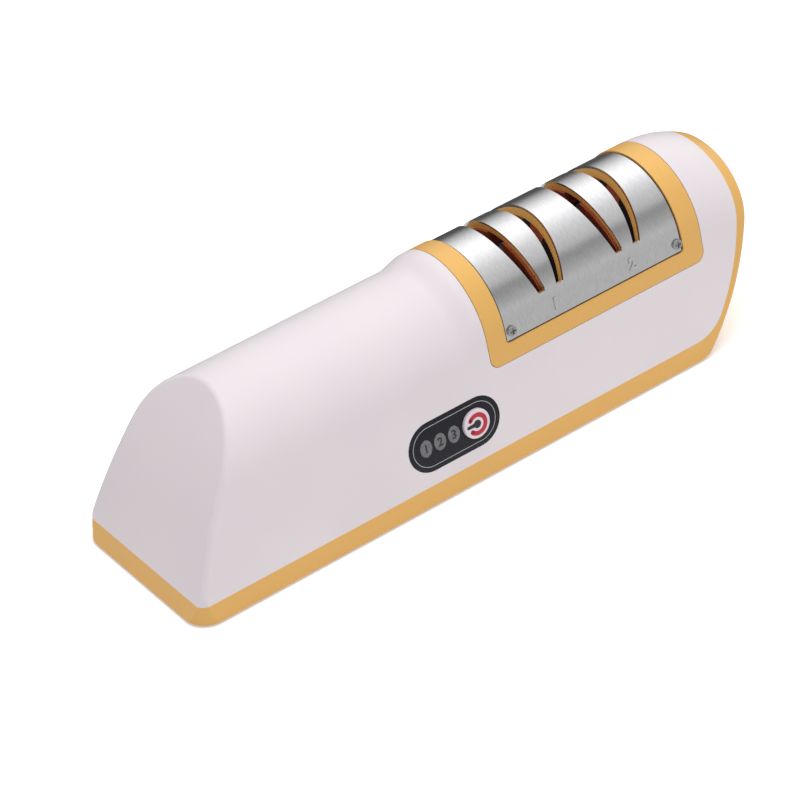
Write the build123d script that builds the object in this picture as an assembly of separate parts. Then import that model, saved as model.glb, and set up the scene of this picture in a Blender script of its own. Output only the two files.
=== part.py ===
from build123d import *
import os
from math import atan, cos, hypot, radians, sin, sqrt

os.makedirs("parts", exist_ok=True)

# Electric knife sharpener.  Millimetres, +Z up.  Stations run along X from the toe of the handle end to the
# rear wall, and heights start at the lower edge of the base band.  The last lines move everything so that the
# origin is the middle of the rest face.  The front wall, with the controls, looks towards -Y.

# ---------------------------------------------------------------- outer form
base_width = 70.0
wall_taper = 0.193            # how far a side wall leans in for each millimetre of height
head_top = 68.6
head_rise = 3.0               # the head stands this far above the handle
handle_top = head_top - head_rise
step_start, step_end = 119.5, 128.5
drop_start, drop_end = 226.0, 253.0
drop_curve = 0.0138           # fall of the crest behind the saddle, per square millimetre
end_lean = 0.316              # lean of the handle end at its toe
end_radius = 202.7            # the handle end is a cylinder face of this radius, bulging outwards
end_edge_radius = 2.0
corner_radius = 8.4           # plan corners of the base at the handle end
corner_taper = 0.10           # how fast that radius shrinks with height
corner_height = 20.0
rear_centre = (157.7, 65.2)
rear_radius = 90.6
rear_toe_radius = 12.0
rear_rim_radius = 1.2
draft = atan(wall_taper)
end_centre = (end_radius * cos(atan(end_lean)), -end_radius * sin(atan(end_lean)))

# ---------------------------------------------------------------- housing walls
band_height = 7.1
shell_wall = 2.5
fit = 0.1                     # clearance between mouldings that plug together
lip_wall = 1.4
lip_height = 3.0
floor = 2.5
part_centre = (167.1, 57.7)   # the arc where the white housing meets the rear wall
part_radius = 75.4
part_blend = 16.0

# ---------------------------------------------------------------- saddle, cover and slots
saddle_x = (130.6, 224.85)
saddle_drop = 32.55           # heights on the head are kept as drops below its crest
saddle_z = head_top - saddle_drop
saddle_corner = 3.5
saddle_flange = 2.5
saddle_inner = 4.0            # depth of the saddle's underside below the outer form
cover_x = (138.55, 216.5)
cover_drop = 25.95
cover_z = head_top - cover_drop
cover_corner = 1.2
cover_depth = 0.5             # the cover lies this far below the bezel
cover_thickness = 0.8
seam = 0.25                   # open line round the saddle and round the cover
stage_x = (160.9, 194.9)
slot_drops = (15.4, 0.5)
slot_root_z, slot_head_z = head_top - slot_drops[0], head_top - slot_drops[1]
slot_inner = (2.3, 4.95)      # inner edge at the root and at the head, from the middle of a stage
slot_outer = (5.4, 10.2)
slot_relief = 3.2             # below the cover the slots run down this much further
saddle_root_z = slot_root_z - slot_relief
stage_skin = (1.02, 1.48)     # thickness of the saddle at a stage: on an upright wall, and more on the crest
cover_screw_x = (141.4, 214.6)
cover_screw_drop = 22.5
cover_screw_z = head_top - cover_screw_drop
cover_screw = (1.9, 1.0, 0.8)  # screws are given as head radius, head height and shank radius
cover_screw_length = 6.0
cover_screw_boss = 2.2
screw_play = 0.3              # a clearance hole is this much wider, all round, than its screw

# ---------------------------------------------------------------- control panel
panel_x, panel_z = 110.56, 21.13
panel_half, panel_radius = 10.0, 9.3
panel_thickness = 1.0
panel_ledge = 1.9
lens_offsets = (-11.96, -6.06, -0.16)
lens_size = (4.9, 6.4)
lens_depth = 2.2
lens_fit = 0.05
led_radius = 1.5
led_height = 2.6
button_offset = 9.0
button_radius = 5.4
button_proud = 1.2
button_travel = 1.0
button_flange = 1.2
board_depth = 10.0
board_size = (44.0, 18.0, 1.6)
board_hole = (19.3, 6.7)
board_boss_radius = 2.4
board_screw = (1.7, 0.9, 0.9)
board_screw_bite = 4.0
switch_size = (6.4, 6.4, 5.0)
plunger_radius = 1.7
plunger_reach = 1.6           # the plunger stands this far out of the switch, and twice as far goes in

# ---------------------------------------------------------------- drive line
motor_x = (46.0, 102.5)
motor_radius = 18.0
can_wall = 1.2
rotor_x = (58.0, 90.0)
rotor_radius = 13.4
rotor_hub = 6.0
rotor_poles = 5
pole_neck = 4.4
pole_shoe = 2.2               # thickness of the shoes at the poles' ends
shoe_spread = (9.2, 20.0)     # half width of a shoe's wedge at a distance from the axis
air_gap = 0.5
brush_x = (50.0, 54.0)
brush_half = 2.2
brush_end = 11.0
holder_end = 14.5
terminal_y = 12.5
terminal_size = (9.0, 0.8, 4.8)
commutator_radius = 4.5
motor_shaft_radius = 1.585
shaft_radius = 3.0
running_fit = 0.03
bush_radius = 3.5
coil_y, coil_height, coil_reach = 8.3, 3.4, 4.4
coil_end = 2.0
coupling_x = (108.5, 126.0)
coupling_radius = 6.0
bearing_x = (134.0, 216.0)
bearing_length = 8.0
bearing_radius = 7.0
bearing_cap_wall = 2.6
stand_y = (-15.5, 15.5)
cap_screw_y = 12.2
cap_flange = 3.0
shaft_screw = (2.4, 1.5, 1.1)
tap_depth = 7.0

# ---------------------------------------------------------------- wheels and their chamber
chamber_x = (146.5, 209.5)
chamber_wall = 1.5
chamber_drop = 35.6
chamber_split = head_top - chamber_drop
chamber_gap = 0.3
wheel_drop = 11.1             # the wheels' top lies this far below the crest
wheel_clearance = 2.16        # between a wheel and the chamber's side wall, at the height of the axis
wheel_top_z = head_top - wheel_drop
wheel_side = base_width / 2 - wall_taper * wheel_top_z - (saddle_inner + chamber_wall) / cos(draft)
wheel_radius = (wheel_side - wheel_clearance) / (1 - wall_taper)
axis_z = wheel_top_z - wheel_radius
wheel_shoulder = wheel_radius - 5.0
wheel_half = 3.6
wheel_rim_half = 2.4
hub_radius = 8.0
hub_flange = (13.0, 1.5)
shaft_collar = (4.5, 5.8)
nut_radius, nut_length = 5.77, 5.0
guide_wheel_gap = 1.2
guide_foot = saddle_root_z - 1.7
guide_proud = 1.0             # a guide stands out into the slots by this
guide_gap = 4.3               # half the space between its front and its rear block
fin_thickness = 1.5
cheek_y = (2.0, 9.5)          # reach of the cheeks that line the slots' outer flanks
shaft_opening = 5.5

# ---------------------------------------------------------------- fasteners, feet, inlet
base_screw_x = (32.0, 138.0, 214.8)
base_screw_y = base_width / 2 - 9.5
base_screw_seat = 3.2
base_screw = (2.8, 1.9, 1.25)
base_screw_bite = 10.0
pad_height = 6.5
boss_radius = 3.4
foot_x = (24.0, 196.0)
foot_y = base_width / 2 - 14.0
foot_radius = 5.0
foot_proud = 1.0
foot_recess = 0.8
inlet_x, inlet_z = 54.0, 20.0
inlet_radius = 4.0
inlet_depth = 9.0
inlet_flange = (2.0, 1.2)     # how far it overlaps the wall, and its thickness
inlet_bore = 2.75
inlet_end = 1.5
pin_radius = 1.0
strap_x = (70.0, 80.0)
strap_thickness = 0.8
strap_foot_z = 10.0
strap_screw_y = motor_radius + 5.3
strap_post_radius = 3.3
rib_x = (56.0, 90.0)          # cradle ribs under the motor
rib_thickness = 3.0
rib_half = 16.0

BIG = 500.0
overshoot = 4.0               # cutting prisms pass the crest by this
side_wall = 1 / cos(draft)    # width taken from a section by a unit of wall thickness


# ================================================================ helpers
def section(x, top, half_width):
    """The arched section: two leaning walls and a round top that is tangent to both."""
    radius = (half_width - wall_taper * top) * cos(draft) / (1 - sin(draft))
    side = radius * cos(draft)
    spring = top - radius + radius * sin(draft)
    walls = Polyline((x, -side, spring), (x, -half_width, 0), (x, half_width, 0), (x, side, spring))
    arch = ThreePointArc((x, side, spring), (x, 0, top), (x, -side, spring))
    return Face(Wire([*walls.edges(), arch]))


def smooth_step(x):
    """Height of the crest at a station between the handle and the head."""
    s = (x - step_start) / (step_end - step_start)
    return handle_top + head_rise * s * s * (3 - 2 * s)


def outline_face(points):
    return Face(Wire(Polyline(*points, close=True).edges()))


def across(face):
    """A prism through the full width from an outline in the XZ plane."""
    return extrude(Plane.XZ * face, BIG / 2, both=True)


def block(x_range, y_range, z_range):
    """A box from its three ranges."""
    sizes = [r[1] - r[0] for r in (x_range, y_range, z_range)]
    return Pos(x_range[0], y_range[0], z_range[0]) * Box(*sizes, align=(Align.MIN,) * 3)


def centred(middle, size):
    """The range of a given size about its middle."""
    return (middle - size / 2, middle + size / 2)


def beside(side, near, far):
    """The range from near to far on one side of the middle plane."""
    return tuple(sorted((side * near, side * far)))


def above(z):
    """All space above a height."""
    return block((-BIG, BIG), (-BIG, BIG), (z, BIG))


def before_rear(centre, radius, bottom, corner):
    """The prism of everything above a floor line and ahead of a rear arc."""
    def on_arc(angle):
        return Vector(centre[0] + radius * cos(radians(angle)), centre[1] + radius * sin(radians(angle)))

    low = Vector(centre[0] + sqrt(radius**2 - (centre[1] - bottom) ** 2), bottom)
    high = on_arc(12)
    arc = ThreePointArc(low, on_arc(-20), high)
    rest = Polyline(high, (high.X, BIG), (-BIG, BIG), (-BIG, bottom), low)
    face = Face(Wire([arc, *rest.edges()]))
    if corner:
        tip = [v for v in face.vertices() if abs(v.Y - bottom) < 1e-3 and v.X > 0]
        face = face.fillet_2d(corner, tip)
    return across(face)


def form(inset):
    """The outer form with sharp ends, shrunk evenly by inset; its floor stays at z = 0."""
    half = base_width / 2 - inset * side_wall
    handle = extrude(section(step_start, handle_top - inset, half), step_start + 10, dir=(-1, 0, 0))
    stations = [step_start + (step_end - step_start) * i / 6 for i in range(7)]
    step = loft([section(x, smooth_step(x) - inset, half) for x in stations])
    head = extrude(section(step_end, head_top - inset, half), drop_start - step_end, dir=(1, 0, 0))
    stations = [drop_start + (drop_end - drop_start) * i / 4 for i in range(5)]
    drop = loft([section(x, head_top - drop_curve * (x - drop_start) ** 2 - inset, half) for x in stations])
    body = handle + step + head + drop
    body &= across(Pos(*end_centre) * Circle(end_radius - inset))
    return (body & before_rear(rear_centre, rear_radius - inset, 0, 0)).solid()


def base_corners(body, inset):
    """The body with its two lower corners at the handle end rounded in plan."""
    radius = corner_radius - inset
    start = end_centre[0] - sqrt((end_radius - inset) ** 2 - end_centre[1] ** 2)
    middle_x = start + radius
    middle_y = base_width / 2 - inset * side_wall - radius
    below, top = radius + corner_taper, radius - corner_taper * corner_height
    for side in (-1, 1):
        cone = Cone(below, top, corner_height + 1, align=(Align.CENTER, Align.CENTER, Align.MIN))
        reach = beside(side, middle_y, middle_y + 2 * radius)
        corner = block((start - radius, middle_x), reach, (-1, corner_height))
        body -= corner - Pos(middle_x, side * middle_y, -1) * cone
    return body.solid()


def master(inset):
    """The outer form shrunk evenly by inset."""
    return base_corners(form(inset), inset)


def rim_edges(body, centre, radius):
    """The edges where an end's cylinder face meets the side walls and the arch."""
    def on_arc(point):
        return abs(hypot(point.X - centre[0], point.Z - centre[1]) - radius) < 0.02

    edges = [e for e in body.edges() if e.length > 3 and all(on_arc(e @ t) for t in (0, 0.5, 1))]
    return [e for e in edges if abs((e @ 0.2).Z - (e @ 0.5).Z) > 0.01]


def window(x_range, bottom, corner, grow=0.0):
    """The prism of a rounded opening that straddles the head."""
    x0, x1 = x_range[0] - grow, x_range[1] + grow
    low = bottom - grow
    face = outline_face([(x0, low), (x1, low), (x1, BIG), (x0, BIG)])
    tips = [v for v in face.vertices() if v.Y < low + 1]
    return across(face.fillet_2d(corner + grow, tips))


def slot_edge(edge, z):
    """Distance of a slot's edge from the middle of its stage at a height."""
    return edge[0] + (edge[1] - edge[0]) * (z - slot_root_z) / (slot_head_z - slot_root_z)


def slab(middle, left, right, bottom):
    """A prism up through the head between two leaning edges: each is (side, slot edge, offset)."""
    top = head_top + overshoot

    def edge_x(edge, z):
        side, at, offset = edge
        return middle + side * (slot_edge(at, z) + offset)

    corners = [(edge_x(e, z), z) for e, z in ((left, bottom), (right, bottom), (right, top), (left, top))]
    return across(outline_face(corners))


def wall_frame(x, z, side):
    """The plane of a side wall at a point: its normal points outwards, its Y axis up the wall."""
    y = side * (base_width / 2 - wall_taper * z)
    return Plane(origin=(x, y, z), x_dir=(-side, 0, 0), z_dir=(0, side * cos(draft), sin(draft)))


def axis_frame(x):
    """The plane across the drive axis at a station."""
    return Plane(origin=(x, 0, axis_z), x_dir=(0, 1, 0), z_dir=(1, 0, 0))


def rod(x0, x1, radius, bore=0.0):
    """A round piece or tube on the drive axis."""
    outline = Circle(radius) - Circle(bore) if bore else Circle(radius)
    return extrude(axis_frame(x0) * outline, x1 - x0)


def post(x, y, z0, z1, radius):
    return extrude(Plane.XY.offset(z0) * Pos(x, y) * Circle(radius), z1 - z0)


def normal_rod(frame, z0, z1, outline):
    """A prism on a wall frame between two heights over the wall."""
    return extrude(frame.offset(z0) * outline, z1 - z0)


def screw(frame, head_radius, head_height, shank_radius, shank_length):
    """A pan-head cross-recess screw whose head sits on the frame and whose shank goes below it."""
    head = normal_rod(frame, 0, head_height, Circle(head_radius))
    top = head.edges().sort_by(lambda e: -frame.to_local_coords(e.center()).Z)[0]
    head = fillet(top, head_height * 0.45)
    shank = normal_rod(frame, -shank_length, 0, Circle(shank_radius))
    reach, width = head_radius * 1.15, head_radius * 0.28
    depth = head_height * 0.55
    for outline in (Rectangle(reach, width), Rectangle(width, reach)):
        head -= normal_rod(frame, head_height - depth, head_height + 1, outline)
    return head + shank


def joined(pieces):
    """One node made of several separate solids."""
    solids = []
    for piece in pieces:
        solids.extend(piece.solids())
    return Compound(solids)


front = wall_frame(panel_x, panel_z, -1)
back_inlet = wall_frame(inlet_x, inlet_z, 1)
outer = form(0)
outer = outer.fillet(rear_rim_radius, rim_edges(outer, rear_centre, rear_radius))
outer = outer.fillet(end_edge_radius, rim_edges(outer, end_centre, end_radius))
outer = base_corners(outer & before_rear(rear_centre, rear_radius, 0, rear_toe_radius), 0)
shell_inside = master(shell_wall)
tray_inside = master(shell_wall + fit)
lip_inside = master(shell_wall + fit + lip_wall)
white_side = before_rear(part_centre, part_radius, band_height, part_blend)
base_screw_spots = [(x, side * base_screw_y) for x in base_screw_x for side in (-1, 1)]
foot_spots = [(x, side * foot_y) for x in foot_x for side in (-1, 1)]
bearing_spans = [centred(x, bearing_length) for x in bearing_x]
cap_screw_spots = [(x, side * cap_screw_y) for x in bearing_x for side in (-1, 1)]

pieces = {}

# ================================================================ upper housing
shell = (outer & white_side) - shell_inside
boss_limit = master(shell_wall / 2)
boss_top = saddle_z - saddle_flange - 2
for x, y in base_screw_spots:
    shell += post(x, y, pad_height, boss_top, boss_radius) & boss_limit
    shell -= post(x, y, pad_height - 1, pad_height + base_screw_bite + 2, base_screw[2])
board_spots = [Pos(sx * board_hole[0], sy * board_hole[1]) for sx in (-1, 1) for sy in (-1, 1)]
for spot in board_spots:
    boss = normal_rod(front, -board_depth, -shell_wall / 2, spot * Circle(board_boss_radius))
    pilot = spot * Circle(board_screw[2])
    shell += boss - normal_rod(front, -board_depth - 1, -board_depth + board_screw_bite + 1, pilot)
shell -= window(saddle_x, saddle_z, saddle_corner, seam)
shell -= normal_rod(front, -panel_thickness, 5, SlotCenterToCenter(2 * panel_half, 2 * panel_radius))
opening = panel_radius - panel_ledge
shell -= normal_rod(front, -shell_wall - 1, 1, SlotCenterToCenter(2 * panel_half, 2 * opening))
shell -= normal_rod(back_inlet, -shell_wall - 1, 3, Circle(inlet_radius + fit))
pieces["upper_shell"] = shell

# ================================================================ chassis: base tray and rear wall in one
chassis = outer - (tray_inside & above(floor))
lip_reach = before_rear(part_centre, part_radius - lip_height, band_height + lip_height, part_blend)
chassis += (tray_inside - lip_inside) - lip_reach
chassis -= (outer & white_side) - tray_inside
for x, y in base_screw_spots:
    chassis += post(x, y, floor / 2, pad_height, boss_radius + 1) & outer
    chassis -= post(x, y, -1, base_screw_seat, base_screw[0] + screw_play)
    chassis -= post(x, y, -1, pad_height + 1, base_screw[2] + screw_play)
for x, y in foot_spots:
    chassis -= post(x, y, -1, foot_recess, foot_radius + fit)
motor_seat = rod(motor_x[0] - 5, motor_x[1] + 5, motor_radius)
for x in rib_x:
    rib = block((x, x + rib_thickness), (-rib_half, rib_half), (floor / 2, axis_z - 5.5))
    chassis += rib - motor_seat
strap_spots = [(sum(strap_x) / 2, side * strap_screw_y) for side in (-1, 1)]
for x, y in strap_spots:
    chassis += post(x, y, floor / 2, strap_foot_z, strap_post_radius)
    chassis -= post(x, y, strap_foot_z - tap_depth, strap_foot_z + 1, shaft_screw[2])
for span in bearing_spans:
    chassis += block(span, stand_y, (floor / 2, axis_z)) - rod(span[0] - 1, span[1] + 1, bearing_radius)
for x, y in cap_screw_spots:
    chassis -= post(x, y, axis_z - tap_depth, axis_z + 1, shaft_screw[2])
pieces["base_chassis"] = chassis

# ================================================================ saddle and cover on the head
saddle_window = window(saddle_x, saddle_z, saddle_corner)
under_saddle = master(saddle_inner)
saddle = (outer - shell_inside) & saddle_window
saddle += (shell_inside - under_saddle) & window(saddle_x, saddle_z, saddle_corner, saddle_flange)
cover_floor = master(cover_depth + cover_thickness)
saddle -= (outer - cover_floor) & window(cover_x, cover_z, cover_corner, seam)
cover = (master(cover_depth) - cover_floor) & window(cover_x, cover_z, cover_corner)
screws = []
for x in cover_screw_x:
    for side in (-1, 1):
        frame = wall_frame(x, cover_screw_z, side).offset(-cover_depth)
        boss = Circle(cover_screw_boss)
        saddle += normal_rod(frame, -cover_screw_length - 1, -saddle_inner / 2, boss) & tray_inside
        saddle -= normal_rod(frame, -cover_screw_length - 0.6, 0, Circle(cover_screw[2]))
        cover -= normal_rod(frame, -2, 1, Circle(cover_screw[2] + screw_play))
        screws.append(screw(frame, *cover_screw, cover_screw_length))
stage_inside = Pos(0, 0, -stage_skin[1]) * master(cover_depth + cover_thickness + stage_skin[0])
for middle in stage_x:
    for side in (-1, 1):
        saddle -= slab(middle, (side, slot_inner, 0), (side, slot_outer, 0), saddle_root_z)
        cover -= slab(middle, (side, slot_inner, 0), (side, slot_outer, 0), slot_root_z)
    stage = slab(middle, (-1, slot_outer, fin_thickness), (1, slot_outer, fin_thickness), saddle_root_z)
    saddle -= stage & stage_inside
pieces["slot_saddle"] = saddle
pieces["steel_cover"] = cover
pieces["cover_screws"] = joined(screws)

# ================================================================ blade guides and wheel chamber
hood_inside = master(saddle_inner + chamber_wall)
ends = [(chamber_x[0], chamber_x[0] + chamber_wall), (chamber_x[1] - chamber_wall, chamber_x[1])]
hood = (under_saddle - hood_inside) & block(chamber_x, (-BIG, BIG), (chamber_split, BIG))
for span in ends:
    hood += under_saddle & block(span, (-BIG, BIG), (chamber_split, BIG))
wheel_room = rod(*chamber_x, wheel_radius + guide_wheel_gap)
flange_room = rod(*chamber_x, hub_flange[0] + guide_wheel_gap)
guide_limit = (stage_inside & above(saddle_root_z)) + hood_inside
gap = block((-BIG, BIG), (-guide_gap, guide_gap), (0, BIG))
cheek_rooms = [block((-BIG, BIG), beside(side, *cheek_y), (0, BIG)) for side in (-1, 1)]
cheeks = []
for middle, name in zip(stage_x, ("blade_guide_fine", "blade_guide_coarse")):
    hood -= slab(middle, (-1, slot_outer, 0), (1, slot_outer, 0), saddle_root_z)
    for side in (-1, 1):
        fin = slab(middle, (side, slot_outer, 0), (side, slot_outer, fin_thickness), saddle_root_z)
        fin = (fin & stage_inside) - flange_room
        hood += fin
        for room in cheek_rooms:
            hood -= fin & room
            cheeks.append(fin & room)
    guide = slab(middle, (-1, slot_inner, guide_proud), (1, slot_inner, guide_proud), guide_foot)
    pieces[name] = (guide & guide_limit) - wheel_room - gap
pieces["guide_cheeks"] = joined(cheeks)
shaft_hole = rod(chamber_x[0] - 1, chamber_x[1] + 1, shaft_opening)
pieces["wheel_hood"] = hood - shaft_hole

inner_x = (ends[0][1], ends[1][0])
trough_out = master(saddle_inner + chamber_gap) & block(chamber_x, (-BIG, BIG), (floor, chamber_split))
trough_in = master(saddle_inner + chamber_gap + chamber_wall)
trough = trough_out - (trough_in & block(inner_x, (-BIG, BIG), (floor + chamber_wall, BIG)))
pieces["filings_trough"] = trough - shaft_hole

# ================================================================ motor
bore = motor_shaft_radius
can_face = (motor_x[1] - can_wall, motor_x[1])
can = rod(*motor_x, motor_radius, motor_radius - can_wall)
can += rod(*can_face, motor_radius - 0.2, bush_radius)
can += rod(can_face[0], motor_x[1] + 2.5, bush_radius + 3, bush_radius)
pieces["motor_can"] = can
bush_spans = ((motor_x[0] - 4, motor_x[0] + 1.5), (can_face[0], motor_x[1] + 2.5))
end_cap = rod(motor_x[0] - 3, motor_x[0], motor_radius, bush_radius)
end_cap += rod(motor_x[0], motor_x[0] + 3, motor_radius - can_wall, holder_end)
end_cap += rod(*bush_spans[0], bush_radius + 2.5, bush_radius)
pieces["motor_bushes"] = joined([rod(*span, bush_radius, bore + running_fit) for span in bush_spans])
magnets = rod(rotor_x[0] - 2, rotor_x[1] + 2, motor_radius - can_wall, rotor_radius + air_gap)
magnets -= block((0, BIG), (-BIG, BIG), centred(axis_z, 10))
pieces["motor_magnets"] = magnets
lobe = Rectangle(pole_neck, rotor_radius - pole_shoe / 2, align=(Align.CENTER, Align.MIN))
wedge_half, wedge_reach = shoe_spread
wedge = Polygon((0, 0), (-wedge_half, wedge_reach), (wedge_half, wedge_reach), align=None)
lobe += (Circle(rotor_radius) - Circle(rotor_radius - pole_shoe)) & wedge
turns = [Rot(0, 0, 360 / rotor_poles * i) for i in range(rotor_poles)]
core_outline = Circle(rotor_hub) + [turn * lobe for turn in turns]
core = extrude(axis_frame(rotor_x[0]) * (core_outline - Circle(bore)), rotor_x[1] - rotor_x[0])
pieces["rotor_core"] = core
coil_sides = [Pos(side * (coil_reach - 1), coil_y) * Rectangle(2.0, coil_height) for side in (-1, 1)]
coil_bar = Pos(0, coil_y) * Rectangle(2 * coil_reach, coil_height)
coils = []
for turn in turns:
    sides = [extrude(axis_frame(rotor_x[0]) * turn * s, rotor_x[1] - rotor_x[0]) for s in coil_sides]
    bars = [extrude(axis_frame(x) * turn * coil_bar, coil_end) for x in (rotor_x[0] - coil_end, rotor_x[1])]
    coils.append(sides[0] + sides[1] + bars[0] + bars[1])
pieces["rotor_coils"] = joined(coils)
pieces["commutator"] = rod(brush_x[0] - 1, rotor_x[0], commutator_radius, bore)
brush_bore = commutator_radius + running_fit
brushes, terminals = [], []
for side in (-1, 1):
    brush = block(brush_x, beside(side, brush_bore, brush_end), centred(axis_z, 2 * brush_half))
    brushes.append(brush - rod(brush_x[0] - 1, brush_x[1] + 1, brush_bore))
    holder = (motor_x[0], brush_x[1] + 1)
    end_cap += block(holder, beside(side, brush_end, holder_end), centred(axis_z, 2 * brush_half + 2))
    tab_x = (motor_x[0] - terminal_size[0], motor_x[0])
    tab = block(tab_x, centred(side * terminal_y, terminal_size[1]), centred(axis_z, terminal_size[2]))
    end_cap -= tab
    terminals.append(tab)
pieces["motor_end_cap"] = end_cap
pieces["motor_brushes"] = joined(brushes)
pieces["motor_terminals"] = joined(terminals)

# ================================================================ shafts and wheels
coupling_middle = sum(coupling_x) / 2
pieces["motor_shaft"] = rod(motor_x[0] - 5, coupling_middle - 0.5, bore)
collar_end = stage_x[0] - wheel_half - hub_flange[1]
shaft = rod(coupling_middle + 0.5, bearing_x[1] + 6, shaft_radius)
pieces["drive_shaft"] = shaft + rod(collar_end - shaft_collar[1], collar_end, shaft_collar[0])
sleeve = rod(*coupling_x, coupling_radius)
sleeve -= rod(coupling_x[0], coupling_middle - 0.5, bore)
sleeve -= rod(coupling_middle - 0.5, coupling_x[1], shaft_radius)
for x in (coupling_x[0] + 3, coupling_x[1] - 5):
    sleeve -= rod(x, x + 2, coupling_radius + 1, coupling_radius - 1)
pieces["shaft_coupling"] = sleeve

for middle, name in zip(stage_x, ("fine", "coarse")):
    face_x, end_x = middle - wheel_half, middle + wheel_half
    hub = rod(face_x, end_x, hub_radius, shaft_radius)
    pieces[name + "_hub"] = hub + rod(face_x - hub_flange[1], face_x, hub_flange[0], shaft_radius)
    rim_x = (middle + wheel_rim_half, middle - wheel_rim_half)
    profile = [(face_x, hub_radius), (end_x, hub_radius), (end_x, wheel_shoulder)]
    profile += [(rim_x[0], wheel_radius), (rim_x[1], wheel_radius), (face_x, wheel_shoulder)]
    disc = Plane(origin=(0, 0, axis_z), x_dir=(1, 0, 0), z_dir=(0, -1, 0)) * outline_face(profile)
    pieces[name + "_wheel"] = revolve(disc, Axis((0, 0, axis_z), (1, 0, 0)))
first_end = stage_x[0] + wheel_half
second_start = stage_x[1] - wheel_half - hub_flange[1]
spacer = rod(first_end, second_start, coupling_radius, shaft_radius)
pieces["wheel_spacer"] = spacer + rod(first_end, first_end + hub_flange[1], hub_flange[0], shaft_radius)
last_end = stage_x[1] + wheel_half
nut_x = last_end + hub_flange[1]
pieces["clamp_washer"] = rod(last_end, nut_x, hub_flange[0], shaft_radius)
nut = extrude(axis_frame(nut_x) * (RegularPolygon(nut_radius, 6) - Circle(shaft_radius)), nut_length)
pieces["wheel_nut"] = nut

bushes, caps, cap_screws = [], [], []
for span in bearing_spans:
    bushes.append(rod(*span, bearing_radius, shaft_radius + running_fit))
    cap = rod(*span, bearing_radius + bearing_cap_wall) & block(span, stand_y, (axis_z, BIG))
    cap += block(span, stand_y, (axis_z, axis_z + cap_flange))
    caps.append(cap - rod(span[0] - 1, span[1] + 1, bearing_radius))
through = shaft_screw[2] + screw_play
cap_bores = joined([post(x, y, axis_z - 1, axis_z + cap_flange + 1, through) for x, y in cap_screw_spots])
for x, y in cap_screw_spots:
    seat_frame = Plane(origin=(x, y, axis_z + cap_flange))
    cap_screws.append(screw(seat_frame, *shaft_screw, cap_flange + tap_depth - 1))
pieces["shaft_bushes"] = joined(bushes)
pieces["bearing_caps"] = joined([cap - cap_bores for cap in caps])
pieces["bearing_cap_screws"] = joined(cap_screws)

# ================================================================ motor strap
strap_out = motor_radius + strap_thickness
strap = rod(*strap_x, strap_out) & block(strap_x, (-BIG, BIG), (axis_z, BIG))
strap += block(strap_x, (-strap_out, strap_out), (strap_foot_z, axis_z))
strap -= rod(strap_x[0] - 1, strap_x[1] + 1, motor_radius)
strap -= block((strap_x[0] - 1, strap_x[1] + 1), (-motor_radius, motor_radius), (strap_foot_z - 1, axis_z))
strap_foot = (strap_foot_z, strap_foot_z + strap_thickness)
strap_screws = []
for side in (-1, 1):
    strap += block(strap_x, beside(side, motor_radius, strap_screw_y + 3.2), strap_foot)
for x, y in strap_spots:
    strap -= post(x, y, strap_foot_z - 1, strap_foot[1] + 1, through)
    strap_screws.append(screw(Plane(origin=(x, y, strap_foot[1])), *shaft_screw, tap_depth - 1))
pieces["motor_strap"] = strap
pieces["strap_screws"] = joined(strap_screws)

# ================================================================ controls
panel = normal_rod(front, -panel_thickness, 0, SlotCenterToCenter(2 * panel_half, 2 * (panel_radius - fit)))
button_spot = Pos(button_offset, 0)
panel -= normal_rod(front, -5, 5, button_spot * Circle(button_radius + fit))
lens_half = (lens_size[0] / 2, lens_size[1] / 2)
lenses, leds = [], []
for offset in lens_offsets:
    spot = Pos(offset, 0)
    panel -= normal_rod(front, -5, 5, spot * Ellipse(lens_half[0] + lens_fit, lens_half[1] + lens_fit))
    lens = normal_rod(front, -lens_depth, 0, spot * Ellipse(*lens_half))
    brim = Ellipse(lens_half[0] + 0.25, lens_half[1] + 0.8)
    lenses.append(lens + normal_rod(front, -lens_depth, -panel_thickness, spot * brim))
    led = normal_rod(front, -board_depth, -board_depth + led_height, spot * Circle(led_radius))
    led += normal_rod(front, -board_depth, -board_depth + 0.8, spot * Circle(led_radius + 0.4))
    leds.append(led + (front.offset(-board_depth + led_height) * spot) * Sphere(led_radius))
pieces["control_panel"] = panel
pieces["indicator_lenses"] = joined(lenses)
pieces["indicator_leds"] = joined(leds)

flange_top = -panel_thickness - fit
flange_bottom = flange_top - button_flange
switch_top = -board_depth + switch_size[2]
plunger_top = switch_top + plunger_reach
button = normal_rod(front, flange_top, button_proud, button_spot * Circle(button_radius))
rim = button.edges().sort_by(lambda e: -front.to_local_coords(e.center()).Z)[0]
button = fillet(rim, 0.5)
button += normal_rod(front, flange_bottom, flange_top, button_spot * Circle(button_radius + 0.5))
button += normal_rod(front, plunger_top, flange_bottom, button_spot * Circle(plunger_radius))
pieces["power_button"] = button
plunger_bottom = switch_top - plunger_reach
well = plunger_bottom - button_travel - 0.5
switch = normal_rod(front, -board_depth, switch_top, button_spot * Rectangle(*switch_size[:2]))
switch -= normal_rod(front, well, switch_top + 1, button_spot * Circle(plunger_radius + fit))
pieces["switch_body"] = switch
plunger = normal_rod(front, plunger_bottom, plunger_top, button_spot * Circle(plunger_radius))
pieces["switch_plunger"] = plunger
board_back = -board_depth - board_size[2]
board = normal_rod(front, board_back, -board_depth, RectangleRounded(board_size[0], board_size[1], 1.5))
rear_face = Plane(origin=front.offset(board_back).origin, x_dir=front.x_dir, z_dir=-front.z_dir)
board_screws = []
for spot in board_spots:
    board -= normal_rod(front, board_back - 1, -board_depth + 1, spot * Circle(board_screw[2] + 0.2))
    local = Plane(origin=(rear_face * spot).position, x_dir=front.x_dir, z_dir=-front.z_dir)
    board_screws.append(screw(local, *board_screw, board_size[2] + board_screw_bite))
pieces["circuit_board"] = board
pieces["board_screws"] = joined(board_screws)

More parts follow.
